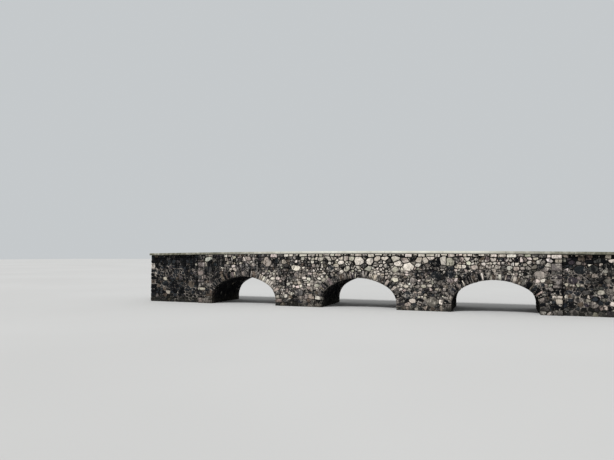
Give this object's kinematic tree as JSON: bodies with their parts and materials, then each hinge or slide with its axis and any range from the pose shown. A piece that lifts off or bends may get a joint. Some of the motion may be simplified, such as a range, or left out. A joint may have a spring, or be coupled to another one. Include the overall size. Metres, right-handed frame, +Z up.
{
  "type": "stone arch bridge",
  "caption": "Low rubble-stone road bridge with basket-handle arches, solid parapets, a pale coping and approach walls set back at both ends.",
  "frame": {"origin": "middle of the footprint, at the level of the water", "axes": "+X along the bridge, the pictured face looks along -Y, +Z up"},
  "size_m": [31.2037, 4.1, 3.5769],
  "materials": {
    "rubble_masonry": "rough fieldstone rubble in recessed lime mortar",
    "arch_stone": "roughly squared arch stones, damp and dark under the soffit",
    "coping_stone": "weathered pale coping with lichen",
    "road_gravel": "rolled gravel with two worn tracks",
    "earth_fill": "rammed earth and rubble"
  },
  "bodies": {
    "root": {"west_abutment": "rubble_masonry", "west_pier": "rubble_masonry", "east_abutment": "rubble_masonry", "east_pier": "rubble_masonry", "west_barrel": "arch_stone", "middle_barrel": "arch_stone", "east_barrel": "arch_stone", "front_west_ring": "arch_stone", "front_middle_ring": "arch_stone", "front_east_ring": "arch_stone", "front_west_end_spandrel": "rubble_masonry", "front_west_spandrel": "rubble_masonry", "front_east_spandrel": "rubble_masonry", "front_east_end_spandrel": "rubble_masonry", "front_parapet": "rubble_masonry", "front_west_approach_wall": "rubble_masonry", "front_east_approach_wall": "rubble_masonry", "front_coping": "coping_stone", "back_west_ring": "arch_stone", "back_middle_ring": "arch_stone", "back_east_ring": "arch_stone", "back_west_end_spandrel": "rubble_masonry", "back_west_spandrel": "rubble_masonry", "back_east_spandrel": "rubble_masonry", "back_east_end_spandrel": "rubble_masonry", "back_parapet": "rubble_masonry", "back_west_approach_wall": "rubble_masonry", "back_east_approach_wall": "rubble_masonry", "back_coping": "coping_stone", "west_approach_fill": "earth_fill", "west_end_fill": "earth_fill", "west_pier_fill": "earth_fill", "east_pier_fill": "earth_fill", "east_end_fill": "earth_fill", "east_approach_fill": "earth_fill", "road_surface": "road_gravel"}
  },
  "joints": []
}
